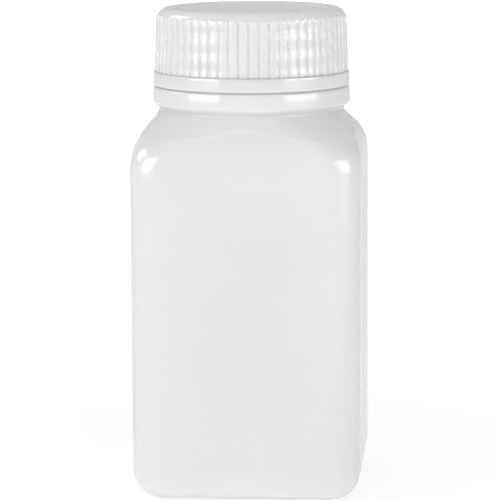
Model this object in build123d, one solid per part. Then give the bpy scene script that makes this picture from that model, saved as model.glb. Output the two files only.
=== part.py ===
from build123d import *
import math
import os

# Square wide-neck bottle with a ribbed screw cap, a breakaway ring under the cap and a sealing
# liner inside it. Millimetres, +Z up, origin at the middle of the base, the bottle standing on z = 0.

# ---- Bottle body ----
BODY_WIDTH = 73.0
BODY_HEIGHT = 122.8          # base to the groove under the neck collar
CORNER_RADIUS = 10.0         # upright corners
HEEL_RADIUS = 9.6            # round edge at the foot
HEEL_SPARE = 0.4             # least by which the heel's radius stays under the corners'
WALL = 1.2
SHOULDER_HEIGHT = 19.0       # groove down to where the faces are upright
FACE_POWER = 3.25            # how long the middle of a face holds its width going up
FACE_FALL = 1.7              # and how hollow it is next to the groove
CORNER_POWER = 2.75          # the same two for a corner, which falls away sooner
CORNER_FALL = 1.35
PUSH_UP_DEPTH = 3.0          # hollow under the base
PUSH_UP_MARGIN = 12.0        # side face to the hollow's edge
PUSH_UP_DRAFT = 35.0         # degrees
PINCH_LENGTH = 40.0          # scar that the closing mould leaves across the base
PINCH_WIDTH = 1.6
PINCH_HEIGHT = 0.7

# ---- Neck ----
NECK_RADIUS = 27.2
NECK_WALL = 1.7
RIM_CHAMFER = 0.4
THREAD_SPACE = 1.7           # neck to the cap's bore, filled by the two threads
GROOVE_DEPTH = 1.8           # groove under the collar
GROOVE_FLAT = 1.0            # what is left of a face's flat where the shoulder turns round
GROOVE_STEP = 0.2
COLLAR_RISE = 2.0            # cone from the groove up to the collar's lower lip
COLLAR_HEIGHT = 5.6          # lower lip to collar top
COLLAR_PROUD = 0.1           # collar outside the ring
COLLAR_WALL = 1.6
COLLAR_CHAMFER = 1.2
BEAD_HEIGHT = 1.6            # bead that keeps the ring on the neck
BEAD_FACE = 0.5

# ---- Screw cap ----
CAP_HEIGHT = 20.5
CAP_WALL = 1.3
CAP_FLARE = 0.7              # the skirt is this much wider at its lower edge
CAP_TOP_THICKNESS = 1.6
CAP_TOP_ROUND = 3.4
RECESS_MARGIN = 5.8          # skirt to the sunk middle of the top
RECESS_DEPTH = 0.6
RECESS_SLOPE = 1.0
RIB_COUNT = 60
RIB_HEIGHT = 0.45
RIB_WIDTH = 2.5
RIB_START = 4.0              # top of the ribs below the cap's top

# ---- Breakaway ring ----
RING_HEIGHT = 3.4
RING_WALL = 1.4
RING_PROUD = 0.35            # ring outside the ribs
RING_CATCH = 0.6             # how far the ring's lip reaches in under the bead
RING_LIP_HEIGHT = 1.1
RING_CHAMFER = 0.6
RING_GAP = 0.9               # ring above the collar
BRIDGE_COUNT = 12
BRIDGE_WIDTH = 1.2
BRIDGE_INSET = 0.05
SLIT = 0.4                   # ring to the cap's lower edge, spanned by the bridges

# ---- Sealing liner ----
LINER_THICKNESS = 1.8
LINER_CHAMFER = 0.3

# ---- Clearances ----
LINER_CLEARANCE = 0.35       # liner to the cap's bore
RING_CLEARANCE = 0.9         # ring's bore to the bead
BEAD_CLEARANCE = 0.3         # ring's lip to the underside of the bead

# ---- Worked-out radii, from the neck outwards ----
HALF = BODY_WIDTH / 2
BORE_RADIUS = NECK_RADIUS - NECK_WALL
CAP_BORE_TOP = NECK_RADIUS + THREAD_SPACE
CAP_BORE_EDGE = CAP_BORE_TOP + CAP_FLARE
CAP_TOP_RADIUS = CAP_BORE_TOP + CAP_WALL
CAP_EDGE_RADIUS = CAP_BORE_EDGE + CAP_WALL
RECESS_RADIUS = CAP_TOP_RADIUS - RECESS_MARGIN
RING_RADIUS = CAP_EDGE_RADIUS + RIB_HEIGHT + RING_PROUD
RING_BORE = RING_RADIUS - RING_WALL
BEAD_RADIUS = RING_BORE - RING_CLEARANCE
RING_LIP_RADIUS = BEAD_RADIUS - RING_CATCH
BRIDGE_DEPTH = CAP_EDGE_RADIUS - RING_BORE - 2 * BRIDGE_INSET
COLLAR_RADIUS = RING_RADIUS + COLLAR_PROUD
GROOVE_RADIUS = COLLAR_RADIUS - GROOVE_DEPTH

# ---- Worked-out heights, from the base upwards ----
LIP_Z = BODY_HEIGHT + COLLAR_RISE
COLLAR_TOP_Z = LIP_Z + COLLAR_HEIGHT
RING_Z = COLLAR_TOP_Z + RING_GAP
RING_TOP_Z = RING_Z + RING_HEIGHT
BEAD_Z = RING_Z + RING_LIP_HEIGHT + BEAD_CLEARANCE
CAP_EDGE_Z = RING_TOP_Z + SLIT
CAP_TOP_Z = CAP_EDGE_Z + CAP_HEIGHT
LINER_TOP_Z = CAP_TOP_Z - RECESS_DEPTH - CAP_TOP_THICKNESS
RIM_Z = LINER_TOP_Z - LINER_THICKNESS
EXTRA = 5.0                  # how far a cutting tool stands out of what it cuts


def outline(half, corner, z):
    """A square with round corners, lying at height z."""
    return Plane.XY.offset(z) * RectangleRounded(2 * half, 2 * half, corner)


def turned(points):
    """A closed profile of (radius, height) points, turned about the Z axis."""
    profile = Polygon(*points, align=None)
    return revolve(Plane.XZ * profile, Axis.Z)


def ring_edges(solid, radius, z):
    """The round edges of a turned solid at this radius and height."""
    found = []
    for edge in solid.edges().filter_by(GeomType.CIRCLE):
        at_height = abs(edge.center().Z - z) < 0.01
        if at_height and abs(edge.radius - radius) < 0.01:
            found.append(edge)
    return found


def shoulder_outline(s, inset):
    """Outline of the shoulder at share s of its height, 0 at the body and 1 at the neck groove.

    The middle of a face and a corner each fall from the body's radius to the groove's by
    (1 - s^p)^q, with a smaller p at the corners, so that these drop away sooner.
    """
    spread = math.sqrt(2) - 1
    groove = GROOVE_RADIUS - inset
    body_half = HALF - inset
    body_reach = body_half * math.sqrt(2) - (CORNER_RADIUS - inset) * spread
    half = groove + (body_half - groove) * (1 - s**FACE_POWER) ** FACE_FALL
    reach = groove + (body_reach - groove) * (1 - s**CORNER_POWER) ** CORNER_FALL
    corner = min((half * math.sqrt(2) - reach) / spread, half - GROOVE_FLAT / 2)
    low = BODY_HEIGHT - SHOULDER_HEIGHT - inset / 5
    high = BODY_HEIGHT - inset
    return outline(half, corner, low + (high - low) * s)


def body_form(inset):
    """The square body and its shoulder, filled, drawn in by inset on every side."""
    low = BODY_HEIGHT - SHOULDER_HEIGHT - inset / 5
    half = HALF - inset
    corner = CORNER_RADIUS - inset
    block = extrude(outline(half, corner, inset), low - inset)
    heel = min(HEEL_RADIUS, CORNER_RADIUS - HEEL_SPARE) - inset
    block = fillet(block.faces().sort_by(Axis.Z)[0].edges(), heel)
    shares = [0, 0.25, 0.45, 0.62, 0.77, 0.9, 1.0]
    outlines = [shoulder_outline(s, inset) for s in shares]
    return block + loft(outlines, ruled=inset > 0)


def push_up(grow):
    """The hollow under the base, grown by the wall where it stands up inside."""
    half = HALF - PUSH_UP_MARGIN + grow
    corner = CORNER_RADIUS + grow
    return extrude(outline(half, corner, 0), PUSH_UP_DEPTH + grow, taper=PUSH_UP_DRAFT)


def neck_form():
    """Outside of the neck, filled: groove, collar, bead for the ring and plain upper neck."""
    neck = turned(
        [
            (0, BODY_HEIGHT - WALL),
            (GROOVE_RADIUS - GROOVE_STEP, BODY_HEIGHT - WALL),
            (GROOVE_RADIUS - GROOVE_STEP, BODY_HEIGHT + GROOVE_STEP),
            (COLLAR_RADIUS, LIP_Z),
            (COLLAR_RADIUS, COLLAR_TOP_Z),
            (NECK_RADIUS, COLLAR_TOP_Z),
            (NECK_RADIUS, BEAD_Z),
            (BEAD_RADIUS, BEAD_Z),
            (BEAD_RADIUS, BEAD_Z + BEAD_FACE),
            (NECK_RADIUS, BEAD_Z + BEAD_HEIGHT),
            (NECK_RADIUS, RIM_Z),
            (0, RIM_Z),
        ]
    )
    neck = chamfer(ring_edges(neck, COLLAR_RADIUS, COLLAR_TOP_Z), COLLAR_CHAMFER)
    return chamfer(ring_edges(neck, NECK_RADIUS, RIM_Z), RIM_CHAMFER)


def neck_hollow():
    """Inside of the neck: it follows the collar outwards and is a plain bore above it."""
    groove_bore = GROOVE_RADIUS - WALL - GROOVE_FLAT
    collar_bore = COLLAR_RADIUS - COLLAR_WALL
    ledge_z = COLLAR_TOP_Z - COLLAR_WALL
    return turned(
        [
            (0, BODY_HEIGHT - 2 * WALL),
            (groove_bore, BODY_HEIGHT - 2 * WALL),
            (groove_bore, BODY_HEIGHT),
            (collar_bore, LIP_Z),
            (collar_bore, ledge_z - COLLAR_CHAMFER),
            (BORE_RADIUS, ledge_z),
            (BORE_RADIUS, RIM_Z + EXTRA),
            (0, RIM_Z + EXTRA),
        ]
    )


def make_bottle():
    """One blow moulding: body, shoulder, collar, bead and neck with an even wall."""
    outside = body_form(0) - push_up(0) + neck_form()
    inside = body_form(WALL) - push_up(WALL) + neck_hollow()
    scar_z = PUSH_UP_DEPTH - PINCH_HEIGHT / 2
    scar = Pos(0, 0, scar_z) * Box(PINCH_LENGTH, PINCH_WIDTH, PINCH_HEIGHT)
    return outside - inside + scar


def make_ring():
    """Breakaway ring: a band with an inward lip below and the broken bridges on top."""
    ring = turned(
        [
            (RING_LIP_RADIUS, RING_Z),
            (RING_RADIUS, RING_Z),
            (RING_RADIUS, RING_TOP_Z),
            (RING_BORE, RING_TOP_Z),
            (RING_BORE, RING_Z + RING_LIP_HEIGHT),
            (RING_LIP_RADIUS, RING_Z + RING_LIP_HEIGHT),
        ]
    )
    ring = chamfer(ring_edges(ring, RING_RADIUS, RING_Z), RING_CHAMFER)
    bridge_x = CAP_EDGE_RADIUS - BRIDGE_INSET - BRIDGE_DEPTH / 2
    bridge = Pos(bridge_x, 0, RING_TOP_Z + SLIT / 2) * Box(BRIDGE_DEPTH, BRIDGE_WIDTH, SLIT)
    return ring + [place * bridge for place in PolarLocations(0, BRIDGE_COUNT)]


def cap_shell():
    """Outside of the cap, filled, with a round upper edge and a sunk middle."""
    shell = turned(
        [
            (0, CAP_EDGE_Z),
            (CAP_EDGE_RADIUS, CAP_EDGE_Z),
            (CAP_TOP_RADIUS, CAP_TOP_Z),
            (RECESS_RADIUS, CAP_TOP_Z),
            (RECESS_RADIUS - RECESS_SLOPE, CAP_TOP_Z - RECESS_DEPTH),
            (0, CAP_TOP_Z - RECESS_DEPTH),
        ]
    )
    return fillet(ring_edges(shell, CAP_TOP_RADIUS, CAP_TOP_Z), CAP_TOP_ROUND)


def cap_rib():
    """One grip rib: a round bar sunk in the skirt and leaning with it, with a ball for its top."""
    bar_radius = (RIB_HEIGHT**2 + (RIB_WIDTH / 2) ** 2) / (2 * RIB_HEIGHT)
    depth = bar_radius - RIB_HEIGHT
    lean = (CAP_EDGE_RADIUS - CAP_TOP_RADIUS) / CAP_HEIGHT
    ball_z = CAP_TOP_Z - RIB_START - RIB_WIDTH / 2
    foot = Vector(CAP_EDGE_RADIUS - depth, 0, CAP_EDGE_Z)
    ball = Vector(CAP_EDGE_RADIUS - depth - lean * (ball_z - CAP_EDGE_Z), 0, ball_z)
    run = ball - foot
    start = foot - run.normalized() * bar_radius
    bar = extrude(Plane(origin=start, z_dir=run) * Circle(bar_radius), run.length + bar_radius)
    return bar + Pos(ball) * Sphere(bar_radius)


def make_cap():
    """One moulding: top, tapered skirt, grip ribs and a plain bore for the thread and liner."""
    ribs = [place * cap_rib() for place in PolarLocations(0, RIB_COUNT)]
    below = Pos(0, 0, CAP_EDGE_Z - EXTRA) * Cylinder(CAP_EDGE_RADIUS + EXTRA, 2 * EXTRA)
    bore = turned(
        [
            (0, CAP_EDGE_Z - EXTRA),
            (CAP_BORE_EDGE, CAP_EDGE_Z - EXTRA),
            (CAP_BORE_EDGE, CAP_EDGE_Z),
            (CAP_BORE_TOP, LINER_TOP_Z),
            (0, LINER_TOP_Z),
        ]
    )
    return cap_shell() + ribs - below - bore


def make_liner():
    """Soft disc held in the top of the cap, face to face with the cap and with the neck's rim."""
    radius = CAP_BORE_TOP - LINER_CLEARANCE
    disc = Pos(0, 0, (RIM_Z + LINER_TOP_Z) / 2) * Cylinder(radius, LINER_THICKNESS)
    return chamfer(ring_edges(disc, radius, RIM_Z), LINER_CHAMFER)


def main():
    """Write one STEP file per sub-part."""
    os.makedirs("parts", exist_ok=True)
    makers = {
        "bottle": make_bottle,
        "tamper_ring": make_ring,
        "screw_cap": make_cap,
        "sealing_liner": make_liner,
    }
    for name, maker in makers.items():
        piece = maker()
        piece.label = name
        export_step(piece, f"parts/{name}.step")


main()
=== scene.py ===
"""Square media bottle: blown body, ribbed screw cap, breakaway ring, sealing liner and stage.

Lengths in this file are in millimetres unless a name or a property says otherwise. Each piece is
one closed surface: a profile, cut into rows, is carried round the upright axis in columns.
"""

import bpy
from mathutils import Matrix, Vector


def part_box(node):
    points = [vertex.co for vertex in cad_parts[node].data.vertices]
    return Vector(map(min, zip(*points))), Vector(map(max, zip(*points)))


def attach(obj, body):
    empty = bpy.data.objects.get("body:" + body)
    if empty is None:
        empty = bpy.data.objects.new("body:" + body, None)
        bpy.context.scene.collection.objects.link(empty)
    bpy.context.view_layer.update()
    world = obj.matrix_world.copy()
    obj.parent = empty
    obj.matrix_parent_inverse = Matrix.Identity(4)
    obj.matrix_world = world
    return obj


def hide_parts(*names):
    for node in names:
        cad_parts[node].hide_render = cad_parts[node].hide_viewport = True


bl_info = {
    "name": "Square media bottle",
    "version": (1, 0, 0),
    "blender": (4, 5, 0),
    "location": "3D View > Sidebar > Bottle",
    "description": "Builds a square wide-neck bottle with a ribbed screw cap and a studio stage",
    "category": "Add Mesh",
}

import math

import bpy
import numpy as np
from bpy.props import FloatProperty, FloatVectorProperty, IntProperty, PointerProperty
from mathutils import Matrix, Vector

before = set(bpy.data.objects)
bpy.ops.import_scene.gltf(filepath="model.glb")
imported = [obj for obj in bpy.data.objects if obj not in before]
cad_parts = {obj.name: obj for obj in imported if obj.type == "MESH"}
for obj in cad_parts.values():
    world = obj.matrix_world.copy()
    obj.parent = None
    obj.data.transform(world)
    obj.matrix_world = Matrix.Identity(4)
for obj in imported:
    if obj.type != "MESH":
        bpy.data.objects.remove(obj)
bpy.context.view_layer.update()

MM = 0.001


def millimetres(node, corner, axis):
    """One number of a CAD node's box: corner 0 is the lowest and 1 the highest."""
    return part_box(node)[corner][axis] / MM


# ---- Heights and radii read from the frame ----
BODY_HALF = millimetres("bottle", 1, 0)
RIM_Z = millimetres("bottle", 1, 2)
CAP_EDGE_Z = millimetres("screw_cap", 0, 2)
CAP_TOP_Z = millimetres("screw_cap", 1, 2)
RING_Z = millimetres("tamper_ring", 0, 2)
RING_RADIUS = millimetres("tamper_ring", 1, 0)
LINER_Z = millimetres("sealing_liner", 0, 2)
LINER_TOP_Z = millimetres("sealing_liner", 1, 2)
LINER_RADIUS = millimetres("sealing_liner", 1, 0)

# ---- Heights and radii that lie inside the nodes' boxes ----
WALL = 1.2                   # thickness of the blown wall
BODY_CORNER = 10.0           # radius of the body's upright edges
HEEL = 9.6                   # radius between the underside and the faces
HOLLOW_HALF = 22.4           # half width of the hollow in the underside
HOLLOW_Z = 3.0
FOOT_HALF = 24.5             # half width at which the hollow meets the table
SHOULDER_Z = 103.8           # top of the upright faces
GROOVE_Z = 122.8
GROOVE_RADIUS = 30.0
COLLAR_RADIUS = 31.8
COLLAR_TOP_Z = 130.4
DRAFT = 0.12                 # collar and ring taper by this much, going up
NECK_RADIUS = 27.2
BEAD_RADIUS = 29.4           # the bead that holds the ring down
BEAD_Z = 132.7
BORE_RADIUS = 25.5
RING_BORE = 30.3
RING_LIP = 28.8              # radius of the ring's inward lip
RING_TOP_Z = 134.7
CAP_BORE_EDGE = 29.6
CAP_BORE_TOP = 28.9
CAP_EDGE_RADIUS = 30.9
CAP_TOP_RADIUS = 30.2
RECESS_RADIUS = 24.4         # the sunk part of the cap's top
RECESS_DEPTH = 0.6
MATT_MARGIN = 0.8            # how far the duller disc of that part stays inside its edge
THREAD_PITCH = 6.0
THREAD_FADE = 0.09           # share of a turn in which a thread's end swells or dies away
SPREAD = math.sqrt(2) - 1    # how far a corner's radius draws in its diagonal


# =====================================================================================
# Shape maths
# =====================================================================================

def smooth_step(x, low, high):
    """0 below low, 1 above high and the cubic 3t^2 - 2t^3 between them."""
    t = np.clip((x - low) / (high - low), 0, 1)
    return t * t * (3 - 2 * t)


def filleted(points, radii, arc_step=14.0):
    """A run of straight lines through points whose corners are arcs of the given radii.

    At each corner the arc starts and ends at radius x tan(half the turn) from it, and has one
    point for every arc_step degrees of turn, or for every two steps on arcs under a millimetre.
    """
    points = [np.array(p, float) for p in points]
    out = [points[0]]
    for before, corner, after, radius in zip(points, points[1:], points[2:], radii[1:]):
        come = (corner - before) / np.linalg.norm(corner - before)
        go = (after - corner) / np.linalg.norm(after - corner)
        turn = math.acos(float(np.clip(come @ go, -1, 1)))
        if radius <= 0 or turn < 0.01:
            out.append(corner)
            continue
        reach = radius * math.tan(turn / 2)
        side = math.copysign(1.0, come[0] * go[1] - come[1] * go[0])
        centre = corner - come * reach + side * radius * np.array([-come[1], come[0]])
        start = corner - come * reach - centre
        steps = max(2, math.ceil(math.degrees(turn) / (arc_step * (2 if radius < 1 else 1))))
        angles = side * turn * np.linspace(0, 1, steps + 1)
        arc = np.stack(
            [
                centre[0] + start[0] * np.cos(angles) - start[1] * np.sin(angles),
                centre[1] + start[0] * np.sin(angles) + start[1] * np.cos(angles),
            ],
            1,
        )
        out.extend(arc)
    out.append(points[-1])
    return np.array(out)


def divided(line, steps):
    """The same line with its runs cut into equal parts no longer than the step of their zone.

    steps is a list of (lowest height, highest height, step); outside the zones runs stay whole.
    """
    out = [line[:1]]
    for a, b in zip(line, line[1:]):
        length = np.linalg.norm(b - a)
        middle = (a[1] + b[1]) / 2
        step = next((s for low, high, s in steps if low <= middle <= high), 1e9)
        count = max(1, math.ceil(length / step))
        out.append(a + (b - a) * np.linspace(0, 1, count + 1)[1:, None])
    return np.concatenate(out)


def square_radius(angle, half, corner):
    """Distance from the axis to a square with round corners, at this angle.

    In the eighth of a turn next to a side, c and s are the larger and smaller of |cos| and |sin|,
    and a = half - corner. Where half * s / c <= a the side is met, at half / c; past it the arc
    is met, at a(c + s) + root(corner^2 - a^2 (c - s)^2). A square whose corner is its half is a
    circle.
    """
    c = np.maximum(np.abs(np.cos(angle)), np.abs(np.sin(angle)))
    s = np.minimum(np.abs(np.cos(angle)), np.abs(np.sin(angle)))
    a = half - corner
    inside = np.maximum(corner**2 - a**2 * (c - s) ** 2, 0)
    return np.where(half * s <= a * c, half / c, a * (c + s) + np.sqrt(inside))


def thread(angle, z, start, first, last, pitch, foot, crest):
    """Height share, 0 to 1, of a right-hand screw thread at each angle and height.

    The helix climbs by the pitch in each turn from start, and the thread stands on it between
    its first and last turn. Across it the share is 1 within half the crest, 0 beyond half the
    foot and a straight flank between; along it the share swells from 0 after the first turn and
    dies away before the last.
    """
    share = np.zeros(np.broadcast(angle, z).shape)
    base = np.mod(angle, 2 * np.pi) / (2 * np.pi)
    for turn in range(math.ceil(last) + 1):
        along = base + turn
        off = np.abs(z - start - pitch * along)
        across = np.clip((foot / 2 - off) / (foot / 2 - crest / 2), 0, 1)
        swell = smooth_step(along, first, first + THREAD_FADE)
        dying = 1 - smooth_step(along, last - THREAD_FADE, last)
        share = np.maximum(share, across * (swell * dying))
    return share


def revolved_mesh(name, x, y, z, poles=True):
    """A mesh from three grids of coordinates, one row for each profile point.

    Columns close round the axis. With poles the first and last rows each become one vertex with
    a fan; without them the last row joins the first, as round a ring.
    """
    rows, columns = x.shape
    grid = np.stack([x, y, z], 2).reshape(-1, 3) * MM
    following = (np.arange(columns) + 1) % columns
    if poles:
        grid = grid[columns - 1 : -(columns - 1)]
        body = 1 + np.arange((rows - 2) * columns).reshape(rows - 2, columns)
    else:
        body = np.arange(rows * columns).reshape(rows, columns)
        body = np.concatenate([body, body[:1]])
    quads = np.stack([body[:-1], body[:-1, following], body[1:, following], body[1:]], 2)
    faces = quads.reshape(-1, 4).tolist()
    if poles:
        first, last = np.zeros(columns, int), np.full(columns, len(grid) - 1)
        faces += np.stack([first, body[0, following], body[0]], 1).tolist()
        faces += np.stack([last, body[-1], body[-1, following]], 1).tolist()
    mesh = bpy.data.meshes.new(name)
    mesh.from_pydata(grid, [], faces)
    mesh.shade_smooth()
    mesh.update()
    return mesh


def placed(name, mesh, material, body, node):
    """Links a finished mesh into the scene, gives it its finish and body, and hides the CAD node
    that it replaces.
    """
    mesh.materials.append(material)
    piece = bpy.data.objects.new(name, mesh)
    bpy.context.scene.collection.objects.link(piece)
    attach(piece, body)
    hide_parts(node)


# =====================================================================================
# Materials
# =====================================================================================

def add_node(tree, kind, place, **values):
    """A node at a place in the editor, with its plain settings and unlinked inputs set."""
    node = tree.nodes.new(kind)
    node.location = place
    for key, value in values.items():
        if key in node.inputs:
            node.inputs[key].default_value = value
        else:
            setattr(node, key, value)
    return node


def mapped(tree, place, source, low, high, to_low, to_high):
    """The output of a Map Range node that takes low to high on to to_low to to_high."""
    node = add_node(tree, "ShaderNodeMapRange", place)
    node.inputs["From Min"].default_value = low
    node.inputs["From Max"].default_value = high
    node.inputs["To Min"].default_value = to_low
    node.inputs["To Max"].default_value = to_high
    tree.links.new(source, node.inputs["Value"])
    return node.outputs["Result"]


def sunk_disc(tree, point):
    """An output that is 1 in the sunk disc of the cap's top and 0 elsewhere: 1 where z is above
    the disc and the distance from the axis, the length of (x, y, 0), is under its radius."""
    split = add_node(tree, "ShaderNodeSeparateXYZ", (-950, -750))
    high = add_node(tree, "ShaderNodeMath", (-750, -750), operation="GREATER_THAN")
    high.inputs[1].default_value = (CAP_TOP_Z - MATT_MARGIN) * MM
    level = add_node(tree, "ShaderNodeVectorMath", (-950, -900), operation="MULTIPLY")
    level.inputs[1].default_value = (1, 1, 0)
    out = add_node(tree, "ShaderNodeVectorMath", (-750, -900), operation="LENGTH")
    inside = add_node(tree, "ShaderNodeMath", (-550, -900), operation="LESS_THAN")
    inside.inputs[1].default_value = (RECESS_RADIUS - MATT_MARGIN) * MM
    both = add_node(tree, "ShaderNodeMath", (-550, -750), operation="MULTIPLY")
    tree.links.new(point, split.inputs[0])
    tree.links.new(split.outputs["Z"], high.inputs[0])
    tree.links.new(point, level.inputs[0])
    tree.links.new(level.outputs[0], out.inputs[0])
    tree.links.new(out.outputs["Value"], inside.inputs[0])
    tree.links.new(high.outputs[0], both.inputs[0])
    tree.links.new(inside.outputs[0], both.inputs[1])
    return both.outputs[0]


def moulded_plastic(name, finish, grain=1.1, matt=0.0):
    """Translucent moulded plastic: cloudy colour, uneven gloss and a fine skin.

    Clouds a few centimetres wide and a fine speckle shift the colour a little; slow flow waves
    shift the roughness; the skin's bump lays a fine grain, of the given size in millimetres, over
    faint flow waves. The value of matt is added to the roughness in the sunk disc of the cap.
    """
    material = bpy.data.materials.new(name)
    material.use_nodes = True
    tree = material.node_tree
    link = tree.links.new
    shader = tree.nodes["Principled BSDF"]
    shader.inputs["IOR"].default_value = finish.ior
    shader.inputs["Transmission Weight"].default_value = finish.clearness
    shader.inputs["Subsurface Weight"].default_value = finish.glow
    shader.inputs["Subsurface Radius"].default_value = (1.0, 0.95, 0.9)
    shader.inputs["Subsurface Scale"].default_value = 2.0 * MM
    where = add_node(tree, "ShaderNodeTexCoord", (-1200, 0))
    noises = []
    for width, detail in ((22.0, 3.0), (0.9, 2.0), (grain, 2.0), (9.0, 1.0)):
        place = (-950, 250 - 250 * len(noises))
        scale = 1 / (width * MM)
        noise = add_node(tree, "ShaderNodeTexNoise", place, Scale=scale, Detail=detail)
        link(where.outputs["Object"], noise.inputs["Vector"])
        noises.append(noise.outputs["Fac"])
    clouds, speckle, skin, waves = noises

    mix = add_node(tree, "ShaderNodeMath", (-700, 120), operation="MULTIPLY_ADD")
    mix.inputs[1].default_value = 0.25
    link(speckle, mix.inputs[0])
    link(clouds, mix.inputs[2])
    tint = add_node(tree, "ShaderNodeValToRGB", (-450, 200))
    pale = np.array(finish.colour)
    dull, bright = tint.color_ramp.elements
    dull.position, bright.position = 0.35, 0.9
    dull.color = (*(pale * (1 - finish.mottle)), 1)
    bright.color = (*np.minimum(pale * (1 + finish.mottle), 1), 1)
    link(mix.outputs[0], tint.inputs["Fac"])
    link(tint.outputs["Color"], shader.inputs["Base Color"])

    low, high = finish.roughness - 0.04, finish.roughness + 0.04
    roughness = mapped(tree, (-450, -100), waves, 0.3, 0.7, low, high)
    if matt:
        duller = add_node(tree, "ShaderNodeMath", (-250, -150), operation="MULTIPLY_ADD")
        duller.inputs[1].default_value = matt
        link(sunk_disc(tree, where.outputs["Object"]), duller.inputs[0])
        link(roughness, duller.inputs[2])
        roughness = duller.outputs[0]
    link(roughness, shader.inputs["Roughness"])

    fine = add_node(tree, "ShaderNodeBump", (-450, -350), Strength=0.12, Distance=0.02 * MM)
    broad = add_node(tree, "ShaderNodeBump", (-200, -350), Strength=0.2, Distance=0.08 * MM)
    link(skin, fine.inputs["Height"])
    link(waves, broad.inputs["Height"])
    link(fine.outputs["Normal"], broad.inputs["Normal"])
    link(broad.outputs["Normal"], shader.inputs["Normal"])
    return material


# =====================================================================================
# Bottle
# =====================================================================================

def shoulder_sections(share, inset):
    """Half widths, corner radii and heights of the shoulder at shares 0 (body) to 1 (groove).

    At a share s the middle of a face keeps (1 - s^3.25)^1.7 of its overhang past the groove, and
    a corner (1 - s^2.75)^1.35 of its own, so that the corners start to fall away sooner. The
    corner radius is the one that puts the corner at that reach. The inset is the wall's
    thickness for the inside and 0 for the outside.
    """
    groove = GROOVE_RADIUS - inset
    half = groove + (BODY_HALF - inset - groove) * (1 - share**3.25) ** 1.7
    body_reach = (BODY_HALF - inset) * math.sqrt(2) - (BODY_CORNER - inset) * SPREAD
    reach = groove + (body_reach - groove) * (1 - share**2.75) ** 1.35
    corner = np.minimum((half * math.sqrt(2) - reach) / SPREAD, half)
    low, high = SHOULDER_Z - inset / 5, GROOVE_Z - inset
    return np.stack([half, corner, low + (high - low) * share], 1)


def with_corners(line, halves, corners):
    """Adds to each (half, height) of a line the corner radius read off a table by its half."""
    corner = np.interp(line[:, 0], halves, corners)
    return np.stack([line[:, 0], corner, line[:, 1]], 1)


def turned_sections(line):
    """Rows of a turned part: the corner radius is the whole radius."""
    return np.stack([line[:, 0], line[:, 0], line[:, 1]], 1)


def bottle_sections():
    """All rows of the bottle, from the middle of its underside, up the outside to the rim, and
    down the inside to the middle of its floor. The second result marks the outside rows."""
    base = filleted(
        [
            (0, HOLLOW_Z),
            (HOLLOW_HALF, HOLLOW_Z),
            (FOOT_HALF, 0),
            (BODY_HALF, 0),
            (BODY_HALF, SHOULDER_Z),
        ],
        [0, 1.0, 1.2, HEEL],
        arc_step=7.5,
    )
    base = divided(base, [(2.9, 3.1, 1.1), (20, 104, 6.0), (-0.1, 0.1, 1.5)])
    base = with_corners(
        base,
        [0, HOLLOW_HALF, FOOT_HALF, BODY_HALF - HEEL, BODY_HALF],
        [0, 7.9, BODY_CORNER, BODY_CORNER - HEEL, BODY_CORNER],
    )
    shoulder = shoulder_sections(np.linspace(0, 1, 45)[1:], 0.0)
    neck = filleted(
        [
            (GROOVE_RADIUS - 0.02, GROOVE_Z + 0.02),
            (GROOVE_RADIUS - 0.1, GROOVE_Z + 0.9),
            (COLLAR_RADIUS, 125.2),
            (COLLAR_RADIUS - DRAFT, COLLAR_TOP_Z),
            (NECK_RADIUS, COLLAR_TOP_Z),
            (NECK_RADIUS, BEAD_Z),
            (BEAD_RADIUS, BEAD_Z),
            (BEAD_RADIUS, BEAD_Z + 0.6),
            (NECK_RADIUS, 134.4),
            (NECK_RADIUS, RIM_Z),
            (BORE_RADIUS, RIM_Z),
            (BORE_RADIUS, 128.8),
            (30.2, 127.9),
            (30.2, 124.9),
            (28.5, 123.2),
            (28.75, 121.7),
        ],
        [0, 0.9, 0.7, 0.8, 0.5, 0.25, 0.15, 0.25, 0.8, 0.45, 0.3, 0.8, 0.8, 0.8, 0.7],
        arc_step=20,
    )
    rim = int(np.argmax(neck[:, 1] >= RIM_Z - 1e-6))
    outer_neck = divided(neck[: rim + 1], [(134.6, 151.1, 0.29)])
    inner_neck = divided(neck[rim:], [(135, 151.5, 2.0)])[1:]
    inner_shoulder = shoulder_sections(np.linspace(1, 0, 27), WALL)
    inner_half = BODY_HALF - WALL
    floor = filleted(
        [
            (inner_half, SHOULDER_Z - WALL / 5),
            (inner_half, WALL),
            (FOOT_HALF + 0.4, WALL),
            (HOLLOW_HALF + 0.4, HOLLOW_Z + WALL),
            (0, HOLLOW_Z + WALL),
        ],
        [0, HEEL - WALL, 1.0, 1.0],
        arc_step=11,
    )
    floor = divided(floor, [(20, 104, 9.0), (4.1, 4.3, 3.0)])
    floor = with_corners(
        floor,
        [0, HOLLOW_HALF + 0.4, FOOT_HALF + 0.4, BODY_HALF - HEEL, inner_half],
        [0, 8.0, 9.6, BODY_CORNER - HEEL, BODY_CORNER - WALL],
    )
    outside = np.concatenate([base, shoulder, turned_sections(outer_neck)])
    inside = np.concatenate([turned_sections(inner_neck), inner_shoulder, floor[1:]])
    rows = np.concatenate([outside, inside])
    return rows, np.arange(len(rows)) < len(outside)


def bottle_columns(count, closeness, seam):
    """Angles of the bottle's columns.

    An even angle u becomes u + closeness/4 sin 4u, which gathers the columns at the corners, and
    four more stand close round each of the two mould seams.
    """
    even = np.arange(count) * 2 * np.pi / count
    angles = even + closeness / 4 * np.sin(4 * even)
    step = seam / BODY_HALF
    seams = np.array([-1.5, -0.5, 0.5, 1.5]) * step
    return np.sort(np.concatenate([angles, seams % (2 * np.pi), np.pi + seams]))


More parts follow.
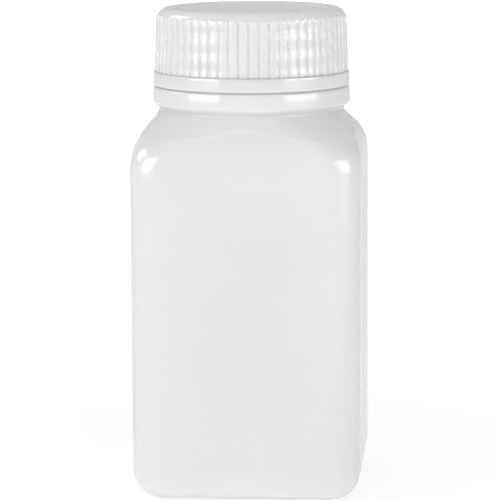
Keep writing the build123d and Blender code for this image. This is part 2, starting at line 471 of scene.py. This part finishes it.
def bottle_relief(angle, radius, z, sizes):
    """What the outside wall stands proud of its plain form, in millimetres.

    The sum of: the neck's thread; the mould's seam, a bell exp(-(y / 0.16)^2) on the plane y = 0;
    a crease on each face below the neck, a bell across the line
    117.3 - 0.0028 x^2 + 2.1 exp(-(x / 8.2)^2.4), where x is the distance from the face's middle;
    the hollow of each face, deepest in its middle; and slow waves from the blowing.
    """
    x, y = radius * np.cos(angle), radius * np.sin(angle)
    along = np.minimum(np.abs(x), np.abs(y))
    start, pitch, first = sizes.thread_start / MM, sizes.pitch / MM, 0.85
    winding = thread(angle, z, start, first, first + sizes.thread_turns, pitch, 2.5, 0.7)
    relief = sizes.thread_height / MM * winding * (z > 134.8)
    seam = np.exp(-((y / 0.16) ** 2)) * smooth_step(z, 3.0, 7.0) * (z < 134.0)
    relief = relief + 0.07 * seam
    line = 117.3 - 0.0028 * along**2 + 2.1 * np.exp(-((along / 8.2) ** 2.4))
    ends = 1 - smooth_step(along, 21, 27)
    crease = np.exp(-(((z - line) / 0.5) ** 2)) * ends * (z < 121)
    relief = relief + sizes.crease / MM * crease
    face = (1 - smooth_step(along, 8, 27)) * smooth_step(z, 12, 45)
    face = face * (1 - smooth_step(z, 82, 108))
    relief = relief - sizes.sink / MM * face
    swell = np.sin(0.11 * x + 0.07 * z + 1.0) * np.sin(0.09 * y - 0.05 * z + 0.4)
    body = smooth_step(z, 6, 20) * (1 - smooth_step(z, 112, 121))
    return relief + 0.05 * swell * body


class BottleSizes(bpy.types.PropertyGroup):
    columns: IntProperty(
        name="Columns", description="Columns round the bottle", default=280, min=64,
    )
    pitch: FloatProperty(
        name="Thread pitch", description="Rise of the screw thread in one turn",
        default=THREAD_PITCH * MM, unit="LENGTH", precision=4,
    )
    thread_start: FloatProperty(
        name="Thread start",
        description="Height of the neck thread's helix at +X, below its first turn",
        default=131.0 * MM, unit="LENGTH", precision=4,
    )
    thread_turns: FloatProperty(
        name="Thread turns", description="Turns of thread on the neck", default=2.2, min=1,
    )
    thread_height: FloatProperty(
        name="Thread height", description="Neck wall to the thread's crest",
        default=1.15 * MM, unit="LENGTH", precision=5,
    )
    crease: FloatProperty(
        name="Crease", description="Height of the crease between a face and the shoulder",
        default=0.38 * MM, unit="LENGTH", precision=5,
    )
    sink: FloatProperty(
        name="Sink", description="How far the middle of each face is drawn in",
        default=0.18 * MM, unit="LENGTH", precision=5,
    )


class BOTTLE_OT_wall(bpy.types.Operator):
    """Build the blown bottle as one wall: its outside and inside are one closed surface"""

    bl_idname = "bottle.wall"
    bl_label = "Bottle"

    def execute(self, context):
        sizes = context.scene.bottle_sizes
        rows, outside = bottle_sections()
        angle = bottle_columns(sizes.columns, closeness=0.45, seam=0.3)[None, :]
        half, corner, z = rows[:, 0:1], rows[:, 1:2], rows[:, 2:3]
        radius = square_radius(angle, half, corner)
        relief = bottle_relief(angle, radius, z, sizes)
        walls = outside[:, None] & (half > FOOT_HALF + 0.5) & (z > 1.5)
        radius = radius + np.where(walls, relief, 0)
        x, y = radius * np.cos(angle), radius * np.sin(angle)
        z = z + 0 * angle
        # The mould's pinch-off scar, a low ridge along the seam underneath.
        scar = (1 - smooth_step(np.abs(x), 19.3, 20.3)) * (1 - smooth_step(np.abs(y), 0.55, 0.9))
        z = z - np.where(outside[:, None] & (z < 3.5) & (half < 22), 0.35 * scar, 0)
        mesh = revolved_mesh("bottle_wall", x, y, z)
        material = moulded_plastic("cloudy_blown_plastic", context.scene.bottle_finish)
        placed("bottle_wall", mesh, material, "bottle", "bottle")
        return {"FINISHED"}


# =====================================================================================
# Screw cap
# =====================================================================================

def cap_relief(angle, z, outside, sizes):
    """What the cap's skirt stands proud of its plain form, in millimetres.

    Outside: grip ribs, nearly flat across three quarters of their width and falling off beyond it
    by a cubic step, with round upper ends where the distance from the middle of the rib's end
    takes the place of the distance across; less a shallow sink along the inner thread that
    climbs with it. Inside: the thread, inwards.
    """
    spacing = 2 * np.pi * CAP_EDGE_RADIUS / sizes.ribs
    turn = np.mod(angle * sizes.ribs / (2 * np.pi) + 0.5, 1) - 0.5
    half = sizes.rib_width / MM / 2
    past = np.maximum(z - (CAP_TOP_Z - 2.0 - half), 0)
    across = np.hypot(turn * spacing, past) / half
    crown = 1 - 0.12 * across**2 - smooth_step(across, 0.74, 1.0)
    rib = np.clip(crown, 0, 1) * sizes.rib_height / MM
    foot = smooth_step(z, CAP_EDGE_Z, CAP_EDGE_Z + 0.4)
    rib = rib * (0.6 + 0.4 * foot)
    start = sizes.thread_start / MM
    above = z - start - THREAD_PITCH * angle / (2 * np.pi)
    phase = np.mod(above + THREAD_PITCH / 2, THREAD_PITCH) - THREAD_PITCH / 2
    bell = smooth_step(phase, -2.9, -1.2) * (1 - smooth_step(phase, -1.1, 2.1))
    reach = smooth_step(z, CAP_EDGE_Z + 0.5, CAP_EDGE_Z + 2) * (1 - smooth_step(z, 152.6, 153.8))
    sink = sizes.sink / MM * bell * reach
    winding = thread(angle, z, start, 0.55, 2.65, THREAD_PITCH, 2.2, 0.6)
    return np.where(outside, rib - sink, -sizes.thread_height / MM * winding)


def cap_columns(ribs):
    """Angles of the cap's columns: twelve to each rib, closest along the sides of the rib."""
    side = np.array([0.15, 0.27, 0.32, 0.36, 0.405])
    turns = np.concatenate([-side[::-1], [0.0], side, [0.5]])
    return ((np.arange(ribs)[:, None] + turns) * 2 * np.pi / ribs).reshape(1, -1)


def cap_sections():
    """Rows of the cap, from the middle of its top, down its skirt and up its bore to the middle
    of its ceiling. The second result marks the outside rows."""
    sunk = CAP_TOP_Z - RECESS_DEPTH
    line = filleted(
        [
            (0, sunk),
            (RECESS_RADIUS - 1.0, sunk),
            (RECESS_RADIUS, CAP_TOP_Z),
            (CAP_TOP_RADIUS + 0.02, CAP_TOP_Z),
            (CAP_EDGE_RADIUS, CAP_EDGE_Z),
            (CAP_BORE_EDGE, CAP_EDGE_Z),
            (CAP_BORE_TOP, LINER_TOP_Z),
            (0, LINER_TOP_Z),
        ],
        [0, 0.8, 0.6, 3.4, 0.12, 0.2, 0.5],
        arc_step=7,
    )
    edge = int(np.argmin(line[:, 1]))
    zones = [(153.9, CAP_TOP_Z + 1, 3.0), (152.0, 153.9, 0.22), (135, 152.0, 0.6)]
    outer = divided(line[: edge + 1], zones)
    inner = divided(line[edge:], [(136, 152.0, 0.5), (152.9, 154, 4.0)])[1:]
    rows = np.concatenate([outer, inner])
    return rows, np.arange(len(rows)) < len(outer)


class CapSizes(bpy.types.PropertyGroup):
    ribs: IntProperty(name="Ribs", description="Grip ribs round the skirt", default=60, min=12)
    rib_height: FloatProperty(
        name="Rib height", description="Skirt to a rib's crest",
        default=0.45 * MM, unit="LENGTH", precision=5,
    )
    rib_width: FloatProperty(
        name="Rib width", description="Width of a rib at its foot",
        default=2.6 * MM, unit="LENGTH", precision=5,
    )
    thread_start: FloatProperty(
        name="Thread start",
        description="Height of the cap thread's helix at +X, below its first turn",
        default=134.0 * MM, unit="LENGTH", precision=4,
    )
    thread_height: FloatProperty(
        name="Thread height", description="Bore to the thread's crest",
        default=1.2 * MM, unit="LENGTH", precision=5,
    )
    sink: FloatProperty(
        name="Sink", description="Depth of the sink marks that follow the thread outside",
        default=0.15 * MM, unit="LENGTH", precision=5,
    )


class BOTTLE_OT_cap(bpy.types.Operator):
    """Build the screw cap: ribbed skirt, sunk top with its gate mark, and inner thread"""

    bl_idname = "bottle.cap"
    bl_label = "Screw cap"

    def execute(self, context):
        sizes = context.scene.cap_sizes
        rows, outside = cap_sections()
        angle = cap_columns(sizes.ribs)
        radius, z = rows[:, 0:1], rows[:, 1:2]
        relief = cap_relief(angle, z, outside[:, None], sizes)
        skirt = (radius > 27.5) & (z < 154.6)
        # The gate mark, a low stud 1.5 mm in radius in the middle of the top.
        gate = np.where(outside[:, None], 0.18 * (1 - smooth_step(radius, 0.7, 1.5)), 0)
        radius = radius + np.where(skirt, relief, 0)
        z = z + gate + 0 * angle
        mesh = revolved_mesh("screw_cap", radius * np.cos(angle), radius * np.sin(angle), z)
        mesh.flip_normals()
        material = moulded_plastic("cloudy_moulded_plastic", context.scene.cap_finish, matt=0.4)
        placed("cap_moulding", mesh, material, "cap", "screw_cap")
        return {"FINISHED"}


# =====================================================================================
# Breakaway ring
# =====================================================================================

class RingSizes(bpy.types.PropertyGroup):
    bridges: IntProperty(
        name="Bridges", description="Broken bridges on the ring", default=12, min=3,
    )
    bridge_width: FloatProperty(
        name="Bridge width", description="Width of one broken bridge",
        default=1.2 * MM, unit="LENGTH", precision=5,
    )


class BOTTLE_OT_ring(bpy.types.Operator):
    """Build the breakaway ring: a band with an inward lip and broken bridges on its top"""

    bl_idname = "bottle.ring"
    bl_label = "Breakaway ring"

    def execute(self, context):
        sizes = context.scene.ring_sizes
        # The outer edge of its top stands above the cap's edge and hides the gap between them.
        foot, top, lip_z = COLLAR_TOP_Z + 0.01, RING_TOP_Z + 0.34, RING_Z + 1.1
        line = filleted(
            [
                (30.75, foot + 0.02),
                (30.85, COLLAR_TOP_Z + 0.22),
                (RING_RADIUS, COLLAR_TOP_Z + 0.6),
                (RING_RADIUS - DRAFT, RING_TOP_Z + 0.46),
                (31.3, RING_TOP_Z + 0.46),
                (31.25, top),
                (RING_BORE, top),
                (RING_BORE, lip_z),
                (RING_LIP, lip_z),
                (RING_LIP, foot),
                (30.7, foot),
            ],
            [0, 0.1, 0.2, 0.12, 0.03, 0, 0.12, 0.2, 0.15, 0.15],
            arc_step=18,
        )
        line = divided(line, [(top - 0.005, top + 0.005, 0.2), (131.9, 134.3, 0.8)])
        angle = (np.arange(720) * 2 * np.pi / 720)[None, :]
        radius, z = line[:, 0:1] + 0 * angle, line[:, 1:2] + 0 * angle
        turn = np.mod(angle * sizes.bridges / (2 * np.pi) + 0.5, 1) - 0.5
        along = np.abs(turn) * 2 * np.pi * 30.6 / sizes.bridges
        half = sizes.bridge_width / MM / 2
        wide = 1 - smooth_step(along, half - 0.12, half)
        deep = smooth_step(radius, RING_BORE, RING_BORE + 0.12)
        deep = deep * (1 - smooth_step(radius, 30.8, 30.95))
        z = z + np.where(z > RING_TOP_Z + 0.2, 0.04 * wide * deep, 0)
        x, y = radius * np.cos(angle), radius * np.sin(angle)
        mesh = revolved_mesh("tamper_band", x, y, z, poles=False)
        material = moulded_plastic("cloudy_band_plastic", context.scene.cap_finish)
        placed("breakaway_band", mesh, material, "bottle", "tamper_ring")
        return {"FINISHED"}


# =====================================================================================
# Sealing liner
# =====================================================================================

class BOTTLE_OT_liner(bpy.types.Operator):
    """Build the liner: a soft disc with a chamfered edge and the rim's print underneath"""

    bl_idname = "bottle.liner"
    bl_label = "Sealing liner"

    def execute(self, context):
        spare = 0.02
        line = filleted(
            [
                (0, LINER_Z + spare),
                (LINER_RADIUS - 0.3, LINER_Z + spare),
                (LINER_RADIUS, LINER_Z + 0.35),
                (LINER_RADIUS, LINER_TOP_Z - spare),
                (0, LINER_TOP_Z - spare),
            ],
            [0, 0.15, 0.15, 0.2],
            arc_step=15,
        )
        line = divided(line, [(LINER_Z - 0.1, LINER_Z + 0.1, 0.7), (153, 154, 4.0)])
        angle = (np.arange(192) * 2 * np.pi / 192)[None, :]
        radius, z = line[:, 0:1] + 0 * angle, line[:, 1:2] + 0 * angle
        sag = 0.12 * (1 - smooth_step(radius, 22.0, 25.3))
        z = z + np.where(z < LINER_Z + 0.1, sag, 0)
        mesh = revolved_mesh("sealing_disc", radius * np.cos(angle), radius * np.sin(angle), z)
        material = moulded_plastic("soft_foam_sheet", context.scene.liner_finish, grain=0.15)
        placed("sealing_disc", mesh, material, "liner", "sealing_liner")
        return {"FINISHED"}


# =====================================================================================
# Finishes
# =====================================================================================

def finish_group(name, colour, roughness, clearness, glow, mottle, ior):
    """A property group for one finish with these defaults."""
    fields = {
        "colour": FloatVectorProperty(
            name="Colour", description="Colour of the plastic", subtype="COLOR",
            default=colour, min=0, max=1,
        ),
        "roughness": FloatProperty(
            name="Roughness", description="Roughness of the surface", subtype="FACTOR",
            default=roughness, min=0, max=1,
        ),
        "clearness": FloatProperty(
            name="Clearness", description="Share of light that passes straight on",
            subtype="FACTOR", default=clearness, min=0, max=1,
        ),
        "glow": FloatProperty(
            name="Glow", description="Share of light that spreads inside the wall",
            subtype="FACTOR", default=glow, min=0, max=1,
        ),
        "mottle": FloatProperty(
            name="Mottle", description="How much the cloudiness shifts the colour",
            subtype="FACTOR", default=mottle, min=0, max=0.2,
        ),
        "ior": FloatProperty(
            name="Index", description="Index of refraction", default=ior, min=1, max=2,
        ),
    }
    return type(name, (bpy.types.PropertyGroup,), {"__annotations__": fields})


BottleFinish = finish_group("BottleFinish", (0.873, 0.873, 0.873), 0.13, 0.15, 0.9, 0.01, 1.52)
CapFinish = finish_group("CapFinish", (0.85, 0.85, 0.85), 0.09, 0.15, 0.9, 0.01, 1.52)
LinerFinish = finish_group("LinerFinish", (0.9, 0.9, 0.89), 0.65, 0.0, 0.3, 0.02, 1.45)


# =====================================================================================
# Stage
# =====================================================================================

class StageSettings(bpy.types.PropertyGroup):
    lamp: FloatProperty(
        name="Lamps", description="Power of each soft lamp", default=1.72, unit="POWER",
    )
    fill: FloatProperty(
        name="Fill", description="Strength of the light from all round", default=0.4,
    )
    lens: FloatProperty(
        name="Lens", description="Focal length of the camera, in millimetres", default=208.17,
    )


REFLECTED_WHITE = 0.6                  # strength at which the plastic reflects the backdrop
TABLE_LIGHT = 0.42                     # strength of the light that the floor gives off
OVERHEAD_SHARE = 2.8                   # the fill from overhead against the fill from the side
LAMP_AIM = 80 * MM                     # height that every lamp faces
FLOOR_DROP = 0.05                      # millimetres from the bottle's foot down to the floor
# Lamps: name, degrees round from the camera, degrees of climb, distance, width and height in
# metres, share of the lamp power. The soft lamps light the plastic, the panels shine in it.
SOFT_LAMPS = (
    ("lamp_left", -57, 18, 0.62, 0.42, 0.36, 0.4),
    ("lamp_right", 57, 20, 0.62, 0.38, 0.40, 0.44),
    ("lamp_front", 0, 24, 1.1, 0.6, 0.6, 1.15),
    ("lamp_back", 215, 30, 0.9, 0.3, 0.3, 0.2),
)
GLOSS_PANELS = (
    ("panel_left", -57, 18.5, 0.6, 0.42, 0.34, 1.35),
    ("panel_right", 60, 18.5, 0.6, 0.46, 0.34, 1.5),
    ("panel_low", 60, -3.3, 0.6, 0.36, 0.1, 0.08),
    ("panel_high", -108, 33, 0.6, 0.24, 0.18, 0.45),
)
CAMERA_PLACE = (77.7 * MM, -928.35 * MM, 223.04 * MM)
CAMERA_TURN = math.radians(4.785)      # the camera stands this far round from straight in front
CAMERA_SWING = -0.78 / 931.6           # and looks this far past the axis, in radians
CAMERA_DIP = math.radians(8.952)
CAMERA_ROLL = math.radians(-0.283)


def camera_matrix():
    """The camera's place and axes: level axes swung and dipped, then rolled about the view."""
    swing = CAMERA_SWING - CAMERA_TURN
    right = Vector((math.cos(swing), -math.sin(swing), 0))
    ahead = Vector((math.sin(swing), math.cos(swing), 0))
    forward = ahead * math.cos(CAMERA_DIP) - Vector((0, 0, math.sin(CAMERA_DIP)))
    upward = ahead * math.sin(CAMERA_DIP) + Vector((0, 0, math.cos(CAMERA_DIP)))
    side = right * math.cos(CAMERA_ROLL) + upward * math.sin(CAMERA_ROLL)
    upright = upward * math.cos(CAMERA_ROLL) - right * math.sin(CAMERA_ROLL)
    matrix = Matrix((side, upright, -forward)).transposed().to_4x4()
    matrix.translation = CAMERA_PLACE
    return matrix


def add_camera(lens):
    """The camera, at the viewing angle, with no depth of field."""
    data = bpy.data.cameras.new("camera")
    data.lens = lens
    data.sensor_width = 36.0
    data.clip_start, data.clip_end = 0.01, 100.0
    camera = bpy.data.objects.new("camera", data)
    camera.matrix_world = camera_matrix()
    bpy.context.scene.collection.objects.link(camera)
    bpy.context.scene.camera = camera


def add_lamp(name, round_from_camera, climb, distance, width, height, power):
    """A soft rectangular lamp that faces the bottle's middle, placed by its angle round from the
    camera, its climb and its distance from there, in degrees and metres."""
    data = bpy.data.lights.new(name, "AREA")
    data.shape = "RECTANGLE"
    data.size, data.size_y = width, height
    data.energy = power
    lamp = bpy.data.objects.new(name, data)
    azimuth = CAMERA_TURN + math.radians(round_from_camera)
    level = math.cos(math.radians(climb))
    rise = math.sin(math.radians(climb))
    back = Vector((math.sin(azimuth) * level, -math.cos(azimuth) * level, rise))
    lamp.matrix_world = back.to_track_quat("Z", "Y").to_matrix().to_4x4()
    lamp.matrix_world.translation = back * distance + Vector((0, 0, LAMP_AIM))
    bpy.context.scene.collection.objects.link(lamp)
    return lamp


def backdrop_strength(tree, camera, glossy, light):
    """What a backdrop gives off: one strength (a number or an output) to camera and transmission
    rays, one to glossy rays, by which the plastic reflects it, and the light output's value to
    all other rays. The second result is 1 on camera rays."""
    path = add_node(tree, "ShaderNodeLightPath", (-1100, -400))
    shine = add_node(tree, "ShaderNodeMix", (-700, -200))
    clear = add_node(tree, "ShaderNodeMath", (-700, -450), operation="MAXIMUM")
    both = add_node(tree, "ShaderNodeMix", (-500, -300))
    tree.links.new(path.outputs["Is Glossy Ray"], shine.inputs[0])
    tree.links.new(light, shine.inputs[2])
    shine.inputs[3].default_value = glossy
    tree.links.new(path.outputs["Is Camera Ray"], clear.inputs[0])
    tree.links.new(path.outputs["Is Transmission Ray"], clear.inputs[1])
    tree.links.new(clear.outputs[0], both.inputs[0])
    tree.links.new(shine.outputs[0], both.inputs[2])
    if isinstance(camera, float):
        both.inputs[3].default_value = camera
    else:
        tree.links.new(camera, both.inputs[3])
    return both.outputs[0], path.outputs["Is Camera Ray"]


def add_world(fill):
    """White to the camera and pale in reflections; as light, a fill that is stronger overhead and
    weaker from the right."""
    world = bpy.data.worlds.new("studio")
    world.use_nodes = True
    bpy.context.scene.world = world
    tree = world.node_tree
    background = tree.nodes["Background"]
    where = add_node(tree, "ShaderNodeTexCoord", (-1100, 200))
    split = add_node(tree, "ShaderNodeSeparateXYZ", (-900, 200))
    tree.links.new(where.outputs["Generated"], split.inputs[0])
    up, right = split.outputs["Z"], split.outputs["X"]
    overhead = mapped(tree, (-700, 200), up, 0.4, 0.95, fill, fill * OVERHEAD_SHARE)
    aside = mapped(tree, (-700, 450), right, 0.0, 0.9, 1.0, 0.2)
    level = add_node(tree, "ShaderNodeMath", (-500, 300), operation="MULTIPLY")
    tree.links.new(overhead, level.inputs[0])
    tree.links.new(aside, level.inputs[1])
    strength, _ = backdrop_strength(tree, 1.0, REFLECTED_WHITE, level.outputs[0])
    background.inputs["Color"].default_value = (1, 1, 1, 1)
    tree.links.new(strength, background.inputs["Strength"])


def floor_mesh(radii, count):
    """A level disc of rings at these radii, in millimetres, with a fan in its middle."""
    angle = (np.arange(count) * 2 * np.pi / count)[None, :]
    radius = np.array([0, *radii])[:, None]
    x, y = radius * np.cos(angle), radius * np.sin(angle)
    grid = np.stack([x, y, np.full(x.shape, -FLOOR_DROP)], 2).reshape(-1, 3)[count - 1 :] * MM
    body = 1 + np.arange(len(radii) * count).reshape(-1, count)
    following = (np.arange(count) + 1) % count
    quads = np.stack([body[:-1], body[1:], body[1:, following], body[:-1, following]], 2)
    fan = np.stack([np.zeros(count, int), body[0], body[0, following]], 1)
    mesh = bpy.data.meshes.new("floor")
    mesh.from_pydata(grid, [], quads.reshape(-1, 4).tolist() + fan.tolist())
    return mesh


def floor_material():
    """Pale paper that gives off a little light: to the camera it is duller by the bottle, to keep
    its shadow, and fades to white with the distance from it."""
    material = bpy.data.materials.new("pale_floor")
    material.use_nodes = True
    tree = material.node_tree
    link = tree.links.new
    tree.nodes.clear()
    out = add_node(tree, "ShaderNodeOutputMaterial", (400, 0))
    both = add_node(tree, "ShaderNodeAddShader", (200, 0))
    paper = add_node(tree, "ShaderNodeBsdfDiffuse", (0, 100))
    glow = add_node(tree, "ShaderNodeEmission", (0, -100))
    where = add_node(tree, "ShaderNodeTexCoord", (-1300, -200))
    far = add_node(tree, "ShaderNodeVectorMath", (-1100, -200), operation="LENGTH")
    link(where.outputs["Object"], far.inputs[0])
    white = mapped(tree, (-900, -200), far.outputs["Value"], 0.12, 0.55, 0.63, 1.0)
    table = add_node(tree, "ShaderNodeValue", (-900, -50))
    table.outputs[0].default_value = TABLE_LIGHT
    strength, camera_ray = backdrop_strength(tree, white, REFLECTED_WHITE / 3, table.outputs[0])
    shade = mapped(tree, (-300, 250), camera_ray, 0.0, 1.0, 0.85, 0.45)
    link(shade, paper.inputs["Color"])
    link(strength, glow.inputs["Strength"])
    link(paper.outputs[0], both.inputs[0])
    link(glow.outputs[0], both.inputs[1])
    link(both.outputs[0], out.inputs["Surface"])
    return material


def add_floor():
    """The pale floor under the bottle, six metres out to every side."""
    mesh = floor_mesh((250, 700, 2000, 6000), 96)
    mesh.materials.append(floor_material())
    floor = bpy.data.objects.new("floor", mesh)
    bpy.context.scene.collection.objects.link(floor)


class BOTTLE_OT_stage(bpy.types.Operator):
    """Build the stage: floor, world, soft lamps and camera"""

    bl_idname = "bottle.stage"
    bl_label = "Stage"

    def execute(self, context):
        settings = context.scene.stage_settings
        context.scene.view_settings.view_transform = "Standard"
        add_floor()
        add_world(settings.fill)
        for *place, share in SOFT_LAMPS:
            soft = add_lamp(*place, settings.lamp * share)
            soft.visible_glossy = False
        for *place, share in GLOSS_PANELS:
            panel = add_lamp(*place, settings.lamp * share)
            panel.visible_diffuse = False
            panel.visible_transmission = False
        add_camera(settings.lens)
        return {"FINISHED"}


class BOTTLE_PT_sidebar(bpy.types.Panel):
    """Buttons and sizes of the square media bottle"""

    bl_label = "Square media bottle"
    bl_idname = "BOTTLE_PT_sidebar"
    bl_space_type = "VIEW_3D"
    bl_region_type = "UI"
    bl_category = "Bottle"

    def draw(self, context):
        for operator in OPERATORS:
            self.layout.operator(operator.bl_idname)
        for attribute, group in GROUPS.items():
            box = self.layout.box()
            for field in group.__annotations__:
                box.prop(getattr(context.scene, attribute), field)


GROUPS = {
    "bottle_sizes": BottleSizes,
    "cap_sizes": CapSizes,
    "ring_sizes": RingSizes,
    "bottle_finish": BottleFinish,
    "cap_finish": CapFinish,
    "liner_finish": LinerFinish,
    "stage_settings": StageSettings,
}
OPERATORS = (BOTTLE_OT_wall, BOTTLE_OT_cap, BOTTLE_OT_ring, BOTTLE_OT_liner, BOTTLE_OT_stage)


def register():
    """Registers every class and hangs the property groups on the scene."""
    for cls in (*GROUPS.values(), *OPERATORS, BOTTLE_PT_sidebar):
        bpy.utils.register_class(cls)
    for attribute, group in GROUPS.items():
        setattr(bpy.types.Scene, attribute, PointerProperty(type=group))


def unregister():
    """Undoes what register does."""
    for attribute in GROUPS:
        delattr(bpy.types.Scene, attribute)
    for cls in reversed((*GROUPS.values(), *OPERATORS, BOTTLE_PT_sidebar)):
        bpy.utils.unregister_class(cls)


def main():
    register()
    bpy.ops.bottle.wall()
    bpy.ops.bottle.cap()
    bpy.ops.bottle.ring()
    bpy.ops.bottle.liner()
    bpy.ops.bottle.stage()


if __name__ == "__main__":
    main()
